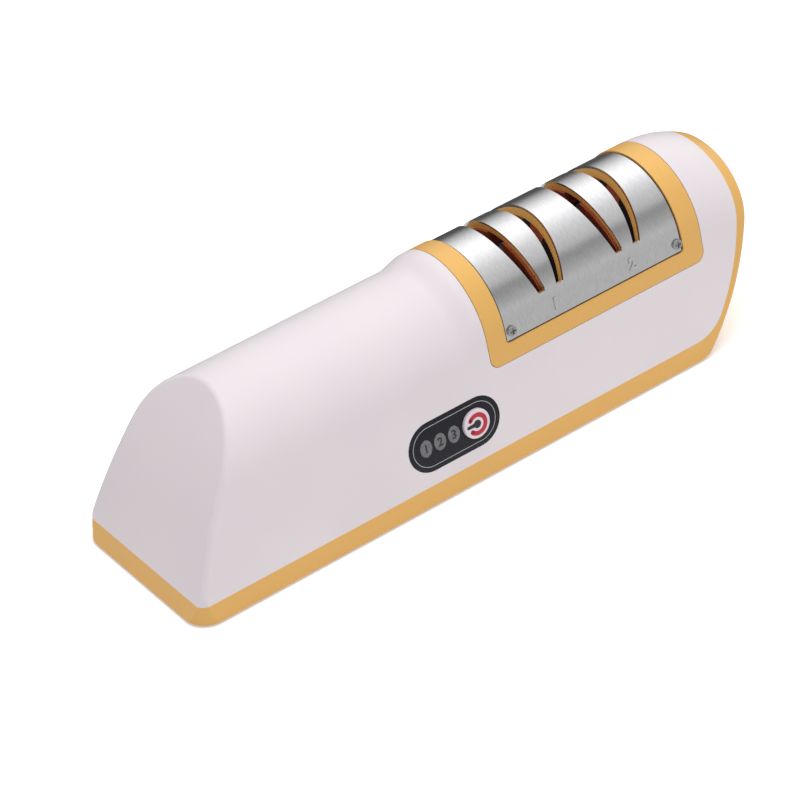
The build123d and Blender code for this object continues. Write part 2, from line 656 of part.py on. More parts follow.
# ================================================================ inlet
inlet = normal_rod(back_inlet, 0, inlet_flange[1], Circle(inlet_radius + inlet_flange[0]))
inlet += normal_rod(back_inlet, -inlet_depth, 0, Circle(inlet_radius))
inlet -= normal_rod(back_inlet, -inlet_depth + inlet_end, 2, Circle(inlet_bore))
inlet -= normal_rod(back_inlet, -inlet_depth - 1, 0, Circle(pin_radius))
pieces["inlet_body"] = inlet
pieces["inlet_pin"] = normal_rod(back_inlet, -inlet_depth - 3, -0.6, Circle(pin_radius))
inlet_nut = RegularPolygon(inlet_radius + inlet_flange[0], 6) - Circle(inlet_radius)
pieces["inlet_nut"] = normal_rod(back_inlet, -shell_wall - 2, -shell_wall, inlet_nut)

# ================================================================ base screws and feet
base_screws, feet = [], []
for x, y in base_screw_spots:
    below = Plane(origin=(x, y, base_screw_seat), x_dir=(1, 0, 0), z_dir=(0, 0, -1))
    base_screws.append(screw(below, *base_screw, pad_height - base_screw_seat + base_screw_bite))
for x, y in foot_spots:
    foot = post(x, y, -foot_proud, foot_recess, foot_radius)
    feet.append(fillet(foot.edges().sort_by(Axis.Z)[0], 0.5))
pieces["base_screws"] = joined(base_screws)
pieces["rubber_feet"] = joined(feet)

# ================================================================ written at the origin, on the rest face
length = outer.bounding_box().max.X
to_origin = Pos(-length / 2, 0, foot_proud)
for node, piece in pieces.items():
    solids = [to_origin * solid for solid in piece.solids()]
    export_step(solids[0] if len(solids) == 1 else Compound(solids), f"parts/{node}.step")
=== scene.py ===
# %% [markdown]
# # An electric knife sharpener, dressed for its portrait
#
# The solid model is the frame: every piece already has its real size and place, so nothing here moves it.
# What is left for Blender is what a solid modeller doesn't say: finishes, printed marks, the seams that a
# moulding shows, and the light. Everything is in metres, in the frame's own axes: +X runs towards the
# slotted head, -Y is the control side, +Z is up.

# %% Load the frame
import math

import bmesh
import bpy
from mathutils import Matrix, Vector


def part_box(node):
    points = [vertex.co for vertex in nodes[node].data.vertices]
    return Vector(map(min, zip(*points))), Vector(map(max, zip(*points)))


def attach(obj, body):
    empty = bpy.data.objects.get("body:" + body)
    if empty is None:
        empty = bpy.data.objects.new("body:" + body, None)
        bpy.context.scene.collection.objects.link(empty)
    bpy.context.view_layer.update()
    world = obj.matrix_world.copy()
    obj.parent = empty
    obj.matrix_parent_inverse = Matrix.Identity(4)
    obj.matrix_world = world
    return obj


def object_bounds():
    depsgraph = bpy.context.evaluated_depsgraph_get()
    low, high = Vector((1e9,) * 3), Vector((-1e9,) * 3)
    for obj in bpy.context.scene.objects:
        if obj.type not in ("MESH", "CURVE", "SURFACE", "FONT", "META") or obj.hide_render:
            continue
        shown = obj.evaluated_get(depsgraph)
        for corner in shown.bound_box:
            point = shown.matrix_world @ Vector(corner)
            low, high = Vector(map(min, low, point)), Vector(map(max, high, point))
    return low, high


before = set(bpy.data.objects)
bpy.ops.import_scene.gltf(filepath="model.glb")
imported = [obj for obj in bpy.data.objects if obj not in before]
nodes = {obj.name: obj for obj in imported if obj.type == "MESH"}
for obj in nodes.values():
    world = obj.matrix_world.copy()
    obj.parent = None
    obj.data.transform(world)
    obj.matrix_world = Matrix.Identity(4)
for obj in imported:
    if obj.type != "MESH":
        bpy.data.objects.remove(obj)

cad_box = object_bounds()
print("pieces in the frame:", len(nodes))

# %% [markdown]
# ## Sizes that the finishing pieces share
#
# A body like this is easiest to measure as its maker would, in millimetres from the toe of the handle end
# and from the underside of the base. The housing leans inwards as it rises, so whatever is printed or
# pressed on its side lies in a tilted plane. One helper gives that plane as a matrix. Every mark is then
# drawn flat, in millimetres, and the matrix lays it on the wall.

# %% Shared sizes and the plane of a wall
MM = 0.001
HALF_LENGTH = cad_box[1][0] / MM
FEET = 1.0                     # the base stands this far above the table
HALF_WIDTH = cad_box[1][1] / MM
TAPER = 0.193                  # how far a wall leans in for each millimetre up
LEAN = math.atan(TAPER)


def wall_frame(station, height, depth=0.0, side=-1):
    """The matrix of a side wall's plane: X along the wall, Y up it, Z out of it."""
    out = Vector((0, side * math.cos(LEAN), math.sin(LEAN)))
    along = Vector((-side, 0, 0))
    up = out.cross(along)
    at = Vector((station - HALF_LENGTH, side * (HALF_WIDTH - TAPER * height), height + FEET)) + out * depth
    matrix = Matrix((along, up, out)).transposed().to_4x4()
    matrix.translation = at
    return Matrix.Scale(MM, 4) @ matrix


print("a wall leans", round(math.degrees(LEAN), 1), "degrees")

# %% [markdown]
# ## Working in edit mode from a script
#
# Operators act on whatever is selected. By hand that is plain to see, but in a script a forgotten selection
# spoils the next step. So each piece starts with nothing selected, and its points or faces are then picked
# by their place. A finished piece has its place in its mesh and its object at the origin.

# %% Helpers for modelling
def deselect():
    """Leaves nothing selected, so that the next operator works only on what it makes."""
    if bpy.context.mode != "OBJECT":
        bpy.ops.object.mode_set(mode="OBJECT")
    bpy.ops.object.select_all(action="DESELECT")


def place(piece, matrix):
    """Puts a piece's place into its mesh, so that its object stays at the origin."""
    piece.data.transform(matrix @ piece.matrix_world)
    piece.matrix_world = Matrix.Identity(4)
    piece.data.update()


def start_edit(piece, name):
    """Names a fresh primitive and opens it with nothing selected."""
    piece.name = name
    bpy.ops.object.mode_set(mode="EDIT")
    bpy.ops.mesh.select_all(action="DESELECT")
    return piece


def pick(test, kind="VERT"):
    """Selects the points, or the faces, that pass a test on their place, in edit mode."""
    bpy.ops.mesh.select_mode(type=kind)
    bpy.ops.mesh.select_all(action="DESELECT")
    mesh = bmesh.from_edit_mesh(bpy.context.object.data)
    for item in mesh.verts if kind == "VERT" else mesh.faces:
        at = item.co if kind == "VERT" else item.calc_center_median()
        if test(at):
            item.select_set(True)
    mesh.select_flush_mode()
    bmesh.update_edit_mesh(bpy.context.object.data)


# %% [markdown]
# ## The camera
#
# A long lens from a good metre away: the far end is only a little smaller than the near one. The camera
# looks along the body from the handle's corner, high enough to see into the slots, and is rolled a little.
# Its matrix is built from three directions: right, up, and back towards the eye.

# %% Camera
AZIMUTH, ELEVATION, ROLL = math.radians(33.72), math.radians(37.211), -0.10
DISTANCE = 1274.785            # from the toe's origin, along the view
AIM = (86.387, 60.586)         # where the optical axis passes, across and up, from the toe's own origin
FOCAL_PIXELS, FRAME_PIXELS = 3825.875, 800

back = Vector((-math.sin(AZIMUTH) * math.cos(ELEVATION),
               -math.cos(AZIMUTH) * math.cos(ELEVATION),
               math.sin(ELEVATION)))
level = Vector((math.cos(AZIMUTH), -math.sin(AZIMUTH), 0))
rise = back.cross(level)
right = math.cos(ROLL) * level + math.sin(ROLL) * rise
up = -math.sin(ROLL) * level + math.cos(ROLL) * rise
eye = right * AIM[0] + up * AIM[1] + back * DISTANCE + Vector((-HALF_LENGTH, 0, FEET))

camera_data = bpy.data.cameras.new("camera")
camera_data.sensor_width = 36.0
camera_data.lens = FOCAL_PIXELS / FRAME_PIXELS * camera_data.sensor_width
camera_data.clip_start, camera_data.clip_end = 0.05, 50
camera = bpy.data.objects.new("camera", camera_data)
bpy.context.scene.collection.objects.link(camera)
camera_matrix = Matrix((right, up, back)).transposed().to_4x4()
camera_matrix.translation = eye * MM
camera.matrix_world = camera_matrix
bpy.context.scene.camera = camera
print("lens", round(camera_data.lens), "mm at", round(DISTANCE), "mm")

# %% [markdown]
# ## Light
#
# The body stands on a white table under one large overhead softbox, in a pale room with a faint rose cast.
# The room's light is weak, so that the softbox can model the form. A ray that goes straight from the
# camera, or off a mirror or through glass, sees the same room as plain white instead. So the background is
# white, while the light on the object stays weak.

# %% Helpers for node trees
def add_node(tree, kind, inputs=None, **properties):
    """A shader node of that kind, with the values of its unlinked inputs and its own properties."""
    made = tree.nodes.new("ShaderNode" + kind)
    for name, value in properties.items():
        setattr(made, name, value)
    for socket, value in (inputs or {}).items():
        made.inputs[socket].default_value = value
    return made


def join(tree, *pairs):
    """Links each pair's output to its input."""
    for source, target in pairs:
        tree.links.new(source, target)


# %% World
ROOM_COLOUR, ROOM_STRENGTH = (1.0, 0.93, 0.965, 1), 0.46
WHITE = (1, 1, 1, 1)

scene = bpy.context.scene
scene.view_settings.view_transform = "Standard"
world = bpy.data.worlds.new("room")
world.use_nodes = True
scene.world = world
air = world.node_tree
air.nodes.clear()
ray = add_node(air, "LightPath")
room = add_node(air, "Background", {"Color": ROOM_COLOUR, "Strength": ROOM_STRENGTH})
white_room = add_node(air, "Background", {"Color": WHITE, "Strength": 1.0})
seen_or_mirrored = add_node(air, "Math", operation="MAXIMUM")
sees_white = add_node(air, "Math", operation="MAXIMUM")
either = add_node(air, "MixShader")
sky = add_node(air, "OutputWorld")
join(air,
     (ray.outputs["Is Camera Ray"], seen_or_mirrored.inputs[0]),
     (ray.outputs["Is Glossy Ray"], seen_or_mirrored.inputs[1]),
     (seen_or_mirrored.outputs[0], sees_white.inputs[0]),
     (ray.outputs["Is Transmission Ray"], sees_white.inputs[1]),
     (sees_white.outputs[0], either.inputs[0]),
     (room.outputs[0], either.inputs[1]),
     (white_room.outputs[0], either.inputs[2]),
     (either.outputs[0], sky.inputs["Surface"]))
print("room at", ROOM_STRENGTH)


# %% Softboxes
def softbox(name, size, watts, at):
    """A square lamp that looks at the middle of the table, and that mirrors don't show."""
    data = bpy.data.lights.new(name, "AREA")
    data.shape = "SQUARE"
    data.size = size
    data.energy = watts
    lamp = bpy.data.objects.new(name, data)
    scene.collection.objects.link(lamp)
    lamp.location = at
    lamp.rotation_euler = Vector(at).to_track_quat("Z", "Y").to_euler()
    lamp.visible_glossy = False
    print(name, watts, "W")


softbox("softbox_top", size=1.4, watts=16.2, at=(0.1, 0.0, 1.5))
softbox("softbox_front", size=0.9, watts=2.7, at=(0.8, -1.4, 0.6))

# %% [markdown]
# ### The table
#
# The table is plain white plaster, and keeps the body's soft shadow. Lamps alone would leave it grey far
# away, and its edge would show from low down. So it also glows a little, for the camera only: weakly round
# the body, and fully from a metre and a half outwards, where it goes over into the white room.

# %% Table
TABLE_SIZE = 40.0
TABLE_FADE, TABLE_GLOW = (0.4, 1.5), (0.30, 1.0)   # radii between which the glow rises, and from what to what

deselect()
bpy.ops.mesh.primitive_plane_add(size=TABLE_SIZE)
table = bpy.context.object
table.name = "table"

plaster = bpy.data.materials.new("table_white")
plaster.use_nodes = True
skim = plaster.node_tree
chalk = skim.nodes["Principled BSDF"]
chalk.inputs["Base Color"].default_value = (0.95, 0.95, 0.95, 1)
chalk.inputs["Roughness"].default_value = 0.9
chalk.inputs["Specular IOR Level"].default_value = 0.0
spot = add_node(skim, "TexCoord")
radius = add_node(skim, "VectorMath", operation="LENGTH")
rising = add_node(skim, "MapRange", {"From Min": TABLE_FADE[0], "From Max": TABLE_FADE[1],
                                     "To Min": TABLE_GLOW[0], "To Max": TABLE_GLOW[1]},
                  interpolation_type="SMOOTHSTEP")
ray = add_node(skim, "LightPath")
amount = add_node(skim, "Math", operation="MULTIPLY")
glow = add_node(skim, "Emission", {"Color": WHITE})
together = add_node(skim, "AddShader")
join(skim,
     (spot.outputs["Object"], radius.inputs[0]),
     (radius.outputs["Value"], rising.inputs["Value"]),
     (ray.outputs["Is Camera Ray"], amount.inputs[0]),
     (rising.outputs["Result"], amount.inputs[1]),
     (amount.outputs[0], glow.inputs["Strength"]),
     (chalk.outputs[0], together.inputs[0]),
     (glow.outputs[0], together.inputs[1]),
     (together.outputs[0], skim.nodes["Material Output"].inputs["Surface"]))
table.data.materials.append(plaster)
print("table", TABLE_SIZE, "m wide")

# %% [markdown]
# ### The light tent
#
# Bright metal only looks like metal when it has something uneven to mirror. So a light tent stands over the
# table, which only mirror-like reflections see: a long half tunnel with a floor, bright in a wide strip
# overhead, dark low down behind, and with a darker seam in front where two of its sheets meet. It starts as
# an open cylinder whose lower half is pressed flat. The floor is left open under the body, so that the
# body's foot mirrors the real table.

# %% Shape of the tent
TENT_RADIUS, TENT_LENGTH, TENT_SHEETS = 1.9, 6.0, 96
TENT_LIFT = 0.02 * MM          # its floor lies just clear of the table
TENT_GAP = 0.08                # half the width of the opening in its floor

deselect()
bpy.ops.mesh.primitive_cylinder_add(vertices=TENT_SHEETS, radius=TENT_RADIUS, depth=TENT_LENGTH,
                                    end_fill_type="NOTHING", rotation=(0, math.radians(90), 0))
tent = bpy.context.object
place(tent, Matrix.Identity(4))
start_edit(tent, "light_tent")
pick(lambda at: at.z < 0.0)
bpy.ops.transform.resize(value=(1, 1, 0), center_override=(0, 0, 0))
bpy.ops.transform.translate(value=(0, 0, TENT_LIFT))
sheet = TENT_RADIUS * math.sin(2 * math.pi / TENT_SHEETS)     # width of each of the floor's two middle faces
pick(lambda at: at.z < MM and abs(at.y) < 0.75 * sheet, "FACE")
bpy.ops.mesh.delete(type="FACE")
pick(lambda at: at.z < MM and abs(at.y) < 1.5 * sheet)
bpy.ops.transform.resize(value=(1, TENT_GAP / sheet, 1), center_override=(0, 0, 0))
bpy.ops.object.mode_set(mode="OBJECT")
tent.visible_camera = False
tent.visible_diffuse = False
tent.visible_shadow = False
tent.visible_transmission = False
print("tent sheets:", len(tent.data.polygons))

# %% Glow of the tent
TENT_LEVEL = 1.6
TENT_GLOW = (                  # degrees up from the table behind, and the share of the level there
    (0, 0.05), (20, 0.40), (45, 0.88), (54, 1.0), (68, 1.0), (98, 0.58), (128, 0.40), (136, 0.22),
    (142, 0.23), (152, 0.29), (161, 0.345), (171, 0.43), (180, 0.385),
)

cloth = bpy.data.materials.new("tent_cloth")
cloth.use_nodes = True
cloth.cycles.emission_sampling = "NONE"
weave = cloth.node_tree
weave.nodes.remove(weave.nodes["Principled BSDF"])
spot = add_node(weave, "TexCoord")
apart = add_node(weave, "SeparateXYZ")
angle = add_node(weave, "Math", operation="ARCTAN2")
half_turns = add_node(weave, "Math", {1: math.pi}, operation="DIVIDE")
shares = add_node(weave, "ValToRGB")
stops = shares.color_ramp.elements
for index, (degrees, share) in enumerate(TENT_GLOW):
    stop = stops[index] if index < 2 else stops.new(degrees / 180)
    stop.position = degrees / 180
    stop.color = (share, share, share, 1)
shine = add_node(weave, "Emission", {"Strength": TENT_LEVEL})
join(weave,
     (spot.outputs["Object"], apart.inputs[0]),
     (apart.outputs["Z"], angle.inputs[0]),
     (apart.outputs["Y"], angle.inputs[1]),
     (angle.outputs[0], half_turns.inputs[0]),
     (half_turns.outputs[0], shares.inputs["Fac"]),
     (shares.outputs["Color"], shine.inputs["Color"]),
     (shine.outputs[0], weave.nodes["Material Output"].inputs["Surface"]))
tent.data.materials.append(cloth)
print("glow stops:", len(stops))

# %% [markdown]
# ## Finishes
#
# A finish is a Principled shader and the small unevenness that says what a thing is made of. Values that
# are the same all over sit on the shader's sockets. What varies comes from noise on Object coordinates,
# which stay with the piece in every pose. The helpers add one kind of unevenness each: tint, sheen and
# grain.

# %% Helpers for finishes
COAT_ROUGHNESS = 0.12
TINT_BAND, SHEEN_BAND = (0.35, 0.65), (0.3, 0.7)   # the part of the noise's range that each one spreads out


def finish(name, colour, roughness, metallic=0.0, coat=0.0, level=0.5):
    """A Principled finish with its uniform values."""
    material = bpy.data.materials.new(name)
    material.use_nodes = True
    sockets = material.node_tree.nodes["Principled BSDF"].inputs
    sockets["Base Color"].default_value = (*colour, 1)
    sockets["Roughness"].default_value = roughness
    sockets["Metallic"].default_value = metallic
    sockets["Coat Weight"].default_value = coat
    sockets["Coat Roughness"].default_value = COAT_ROUGHNESS
    sockets["Specular IOR Level"].default_value = level
    return material


def noise(material, per_mm, stretch=(1, 1, 1), detail=3.0):
    """Noise with about per_mm grains to the millimetre, drawn out along the axes that stretch makes small."""
    tree = material.node_tree
    spot = add_node(tree, "TexCoord")
    scale = add_node(tree, "Mapping", {"Scale": tuple(per_mm / MM * s for s in stretch)})
    speckle = add_node(tree, "TexNoise", {"Scale": 1.0, "Detail": detail})
    join(tree, (spot.outputs["Object"], scale.inputs["Vector"]),
         (scale.outputs["Vector"], speckle.inputs["Vector"]))
    return speckle.outputs["Fac"]


def feed(material, source, node, entry, result, socket):
    """Runs a noise through a node into one of the shader's sockets."""
    tree = material.node_tree
    join(tree, (source, node.inputs[entry]),
         (node.outputs[result], tree.nodes["Principled BSDF"].inputs[socket]))


def tint(material, source, dark, light):
    """Colour that wanders between two shades."""
    shades = add_node(material.node_tree, "ValToRGB")
    for stop, position, colour in zip(shades.color_ramp.elements, TINT_BAND, (dark, light)):
        stop.position = position
        stop.color = (*colour, 1)
    feed(material, source, shades, "Fac", "Color", "Base Color")


def sheen(material, source, smooth, dull):
    """Roughness that wanders between two values."""
    span = add_node(material.node_tree, "MapRange", {"From Min": SHEEN_BAND[0], "From Max": SHEEN_BAND[1],
                                                     "To Min": smooth, "To Max": dull})
    feed(material, source, span, "Value", "Result", "Roughness")


def grain(material, source, height_mm, strength=1.0):
    """A bump of that height."""
    bump = add_node(material.node_tree, "Bump", {"Strength": strength, "Distance": height_mm * MM})
    feed(material, source, bump, "Height", "Normal", "Normal")


def wear(material, *names):
    """Gives a finish to CAD nodes, in place of what they came with."""
    for name in names:
        nodes[name].data.materials.clear()
        nodes[name].data.materials.append(material)
    print(material.name, "on", len(names), "nodes")


# %% [markdown]
# ### Moulded white housing
#
# ABS moulded in a spark-eroded tool: pale, faintly pink, satin. The tool leaves a very fine even texture,
# and thick places cool a touch darker than thin ones, which is the slow wander in the tint.

# %% White housing
white = finish("housing_white", (0.80, 0.765, 0.78), 0.38, level=0.3)
tint(white, noise(white, 0.025, detail=2), (0.79, 0.75, 0.768), (0.81, 0.775, 0.79))
sheen(white, noise(white, 0.3, detail=2), 0.32, 0.40)
grain(white, noise(white, 5.0, detail=2), 0.004, 0.35)
wear(white, "upper_shell")

# %% [markdown]
# ### Gold trim
#
# The tray, the rear wall and the saddle are moulded in a warm colour and sprayed with a metallic lacquer:
# fine flakes under a clear satin top. The flakes are a fine noise in the tint, and the lacquer a thin coat.

# %% Gold trim
gold = finish("trim_gold", (0.80, 0.475, 0.13), 0.36, metallic=0.08, coat=0.05, level=0.4)
tint(gold, noise(gold, 9.0, detail=1), (0.77, 0.45, 0.12), (0.84, 0.50, 0.14))
grain(gold, noise(gold, 6.0, detail=2), 0.003, 0.3)
wear(gold, "base_chassis", "slot_saddle")

# %% [markdown]
# ### Brushed steel cover
#
# A pressed stainless plate, brushed round the arch before it was bent, so its fine scratches run along the
# slots. The scratches are a noise drawn out in Y and Z and tight in X. They change both the height and the
# sheen.

# %% Brushed steel
steel = finish("cover_steel", (0.66, 0.66, 0.67), 0.2, metallic=1.0)
scratch = noise(steel, 5.0, stretch=(1.0, 0.12, 0.12))
tint(steel, noise(steel, 3.0, stretch=(1.0, 0.15, 0.15)), (0.62, 0.62, 0.63), (0.70, 0.70, 0.71))
sheen(steel, scratch, 0.17, 0.24)
grain(steel, scratch, 0.003, 0.35)
wear(steel, "steel_cover")

# %% [markdown]
# ### Fasteners
#
# The hidden screws, the nut and the washer are bright zinc, a little patchy from the plating bath. The four
# screws in the cover are plain steel with a rougher head, since a driver and grit both touch them. Their
# colour is darker than the zinc as painted shade for the dark recess and rim of each head.

# %% Zinc and screw steel
zinc = finish("fastener_zinc", (0.62, 0.62, 0.63), 0.25, metallic=1.0)
sheen(zinc, noise(zinc, 3.0), 0.18, 0.36)
grain(zinc, noise(zinc, 4.0), 0.005, 0.4)
wear(zinc, "board_screws", "bearing_cap_screws", "strap_screws", "base_screws", "wheel_nut", "clamp_washer")

# the darker colour is painted shade for the recess and rim of each cover screw's head
screw_steel = finish("screw_steel", (0.42, 0.42, 0.43), 0.18, metallic=1.0)
sheen(screw_steel, noise(screw_steel, 2.5), 0.12, 0.30)
grain(screw_steel, noise(screw_steel, 1.6, detail=2), 0.06, 0.7)
wear(screw_steel, "cover_screws")

# %% [markdown]
# ### Inside the slots
#
# The blades rub against guides of a red-brown filled plastic, with paler and darker streaks where the
# filler gathered. All round them is the black chamber that catches the filings, matt and nearly without
# colour. The same black plastic serves for the motor's end cap, the inlet and the switch.

# %% Guides and chamber
guide_red = finish("guide_red", (0.30, 0.070, 0.038), 0.45)
tint(guide_red, noise(guide_red, 0.4), (0.26, 0.060, 0.030), (0.34, 0.082, 0.044))
grain(guide_red, noise(guide_red, 4.0), 0.006, 0.5)
wear(guide_red, "blade_guide_fine", "blade_guide_coarse", "guide_cheeks")

chamber_black = finish("chamber_black", (0.012, 0.012, 0.014), 0.5)
tint(chamber_black, noise(chamber_black, 0.8), (0.008, 0.008, 0.01), (0.02, 0.019, 0.02))
grain(chamber_black, noise(chamber_black, 4.0), 0.006, 0.5)
wear(chamber_black, "wheel_hood", "filings_trough", "bearing_caps", "motor_end_cap", "inlet_body", "inlet_nut",
     "switch_body", "switch_plunger")

# %% [markdown]
# ### Panel, windows and button
#
# The panel is a smooth plate that is nearly black, with a little blue in it. Its three windows are smoked
# and mottled, so that an unlit lamp behind them doesn't show. The button is the housing's white, but
# glossier.

# %% Panel, windows and button
panel_navy = finish("panel_navy", (0.007, 0.0085, 0.0145), 0.25, level=0.3)
tint(panel_navy, noise(panel_navy, 1.5), (0.006, 0.0073, 0.0125), (0.009, 0.0105, 0.017))
sheen(panel_navy, noise(panel_navy, 0.6), 0.2, 0.3)
wear(panel_navy, "control_panel")

smoked = finish("lens_smoked", (0.15, 0.155, 0.16), 0.25, coat=0.3)
tint(smoked, noise(smoked, 2.2, detail=4), (0.10, 0.105, 0.11), (0.21, 0.215, 0.22))
wear(smoked, "indicator_lenses")

button_white = finish("button_white", (0.80, 0.73, 0.79), 0.3, coat=0.2)
tint(button_white, noise(button_white, 0.3), (0.77, 0.70, 0.76), (0.82, 0.76, 0.81))
grain(button_white, noise(button_white, 5.0), 0.003, 0.3)
wear(button_white, "power_button")

# %% [markdown]
# ### Behind the panel
#
# The lamps are clear resin, faintly clouded. The board is glass fibre under green solder mask, whose colour
# thickens and thins over the weave.

# %% Lamps and board
resin = finish("led_resin", (0.80, 0.83, 0.85), 0.15, coat=0.3)
tint(resin, noise(resin, 0.8), (0.76, 0.79, 0.82), (0.84, 0.87, 0.89))
wear(resin, "indicator_leds")

board_green = finish("board_green", (0.012, 0.10, 0.035), 0.3, coat=0.2)
tint(board_green, noise(board_green, 0.7, detail=5), (0.009, 0.08, 0.028), (0.02, 0.13, 0.045))
wear(board_green, "circuit_board")

# %% [markdown]
# ### The motor's metals
#
# The can, strap, shafts and rotor are drawn or ground steel, so their marks run along X. The magnets and
# brushes are pressed powder, dark and pitted. The coils are enamelled copper wire, shown by a relief that
# runs along the winding, and the bushes, terminals and inlet pin are plain turned brass.

# %% Steel and sintered pieces
drawn_steel = finish("drawn_steel", (0.52, 0.52, 0.53), 0.32, metallic=1.0)
sheen(drawn_steel, noise(drawn_steel, 2.0, stretch=(0.1, 1, 1)), 0.24, 0.42)
grain(drawn_steel, noise(drawn_steel, 5.0, stretch=(0.05, 1, 1)), 0.004, 0.4)
wear(drawn_steel, "motor_can", "motor_strap", "motor_shaft", "drive_shaft", "rotor_core")

sintered = finish("sintered_grey", (0.045, 0.045, 0.05), 0.6, metallic=0.4)
grain(sintered, noise(sintered, 4.0, detail=5), 0.02, 0.6)
wear(sintered, "motor_magnets", "motor_brushes")

# %% Copper and brass
copper = finish("enamelled_copper", (0.55, 0.20, 0.075), 0.3, metallic=1.0)
tint(copper, noise(copper, 3.0, stretch=(0.1, 1, 1)), (0.45, 0.15, 0.05), (0.62, 0.24, 0.09))
grain(copper, noise(copper, 3.0, stretch=(0.08, 1, 1)), 0.03, 0.7)
wear(copper, "rotor_coils", "commutator")

brass = finish("plain_brass", (0.60, 0.42, 0.16), 0.28, metallic=1.0)
sheen(brass, noise(brass, 3.0), 0.2, 0.38)
wear(brass, "motor_terminals", "inlet_pin", "motor_bushes", "shaft_bushes")

# %% [markdown]
# ### Rubber, hubs and grit
#
# Feet and coupling are matt black rubber. The hubs and spacer are a grey moulding. The two wheels differ in
# what does the work: fine grit is small, pale and even, and coarse grit is darker, with grains that can be
# seen.

# %% Rubber, hubs and wheels
rubber = finish("black_rubber", (0.018, 0.018, 0.019), 0.75, level=0.3)
tint(rubber, noise(rubber, 1.0), (0.013, 0.013, 0.014), (0.026, 0.026, 0.027))
grain(rubber, noise(rubber, 5.0), 0.01, 0.6)
wear(rubber, "rubber_feet", "shaft_coupling")

hub_grey = finish("hub_grey", (0.07, 0.07, 0.08), 0.5)
tint(hub_grey, noise(hub_grey, 0.6), (0.055, 0.055, 0.065), (0.09, 0.09, 0.10))
wear(hub_grey, "fine_hub", "coarse_hub", "wheel_spacer")

fine_grit = finish("fine_grit", (0.30, 0.26, 0.23), 0.8, level=0.3)
tint(fine_grit, noise(fine_grit, 7.0, detail=4), (0.20, 0.17, 0.15), (0.40, 0.35, 0.31))
grain(fine_grit, noise(fine_grit, 7.0, detail=4), 0.05, 0.8)
wear(fine_grit, "fine_wheel")

coarse_grit = finish("coarse_grit", (0.16, 0.14, 0.13), 0.85, level=0.3)
tint(coarse_grit, noise(coarse_grit, 3.5, detail=5), (0.08, 0.07, 0.065), (0.28, 0.25, 0.23))
grain(coarse_grit, noise(coarse_grit, 3.5, detail=5), 0.12, 0.9)
wear(coarse_grit, "coarse_wheel")

# %% [markdown]
# ## Marks on the control panel
#
# The panel has a thin light line just inside its edge, three small windows and a round button. The line,
# the ring and bar on the button and the numbers are pad-printed: a few hundredths of a millimetre of ink.
# They could be painted in a material, but ink with its own outline stays sharp from near by. So each is a
# thin mesh of its own, drawn flat in millimetres, given a thickness and then laid on the wall.

# %% Helpers for drawing flat shapes
INK = 0.05
MERGE = 0.0005                 # points nearer than this are one point
PANEL = (110.56, 21.13)        # station and height of the panel's middle
PANEL_HALF, PANEL_RADIUS = 10.0, 9.2   # half its straight part, and the radius of its ends
panel_matrix = wall_frame(*PANEL)


def give_thickness(height):
    """Extrudes the whole flat shape upwards and turns its faces outwards."""
    bpy.ops.mesh.select_all(action="SELECT")
    bpy.ops.mesh.extrude_region_move(TRANSFORM_OT_translate={"value": (0, 0, height)})
    close_up()


def close_up():
    """Merges doubles, turns all faces outwards and leaves edit mode."""
    bpy.ops.mesh.select_all(action="SELECT")
    bpy.ops.mesh.remove_doubles(threshold=MERGE)
    bpy.ops.mesh.normals_make_consistent(inside=False)
    bpy.ops.object.mode_set(mode="OBJECT")


def lay(piece, matrix, material, body):
    """Lays a finished mark on its wall, gives it its ink and its body."""
    place(piece, matrix)
    piece.data.materials.clear()
    piece.data.materials.append(material)
    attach(piece, body)
    print(piece.name, "faces:", len(piece.data.polygons))


def ink(name, colour, roughness=0.35):
    """Printed ink: nearly flat colour with the faint mottle of the pad."""
    material = finish(name, colour, roughness)
    tint(material, noise(material, 3.0), tuple(0.88 * c for c in colour), colour)
    return material


# %% [markdown]
# ### The line inside the edge
#
# The line follows the panel's own outline, a circle pulled apart into two half circles and two straights.
# Inset makes a second outline at an even distance inside the first. What lies within is deleted, and the
# narrow band that is left gets its thickness.

# %% Panel line
LINE_INSET, LINE_WIDTH = 1.75, 0.2
ON_AXIS = 0.01                 # a point nearer to the axis than this lies on it

deselect()
bpy.ops.mesh.primitive_circle_add(vertices=128, radius=PANEL_RADIUS - LINE_INSET, fill_type="NGON")
line = start_edit(bpy.context.object, "panel_line")
pick(lambda at: at.x > ON_AXIS)
bpy.ops.transform.translate(value=(PANEL_HALF, 0, 0))
pick(lambda at: at.x < -ON_AXIS)
bpy.ops.transform.translate(value=(-PANEL_HALF, 0, 0))
bpy.ops.mesh.select_mode(type="FACE")
bpy.ops.mesh.select_all(action="SELECT")
bpy.ops.mesh.inset(thickness=LINE_WIDTH)
bpy.ops.mesh.delete(type="FACE")
give_thickness(INK)
line_ink = ink("line_ink", (0.52, 0.54, 0.55))
lay(line, panel_matrix, line_ink, "housing")

# %% [markdown]
# ### The power mark on the button
#
# A broken ring round a dot with a bar. The ring is one short edge spun round the middle, and each end is
# that edge spun half a turn about its own middle, which rounds it. The dot is a circle, and its few points
# on the left are drawn out into the bar.

# %% Ring
BUTTON = 9.0                   # from the panel's middle
BUTTON_PROUD = 1.2
RING_RADIUS, RING_WIDTH, RING_TURN = 3.35, 1.65, 280
button_matrix = panel_matrix @ Matrix.Translation((BUTTON, 0, BUTTON_PROUD))

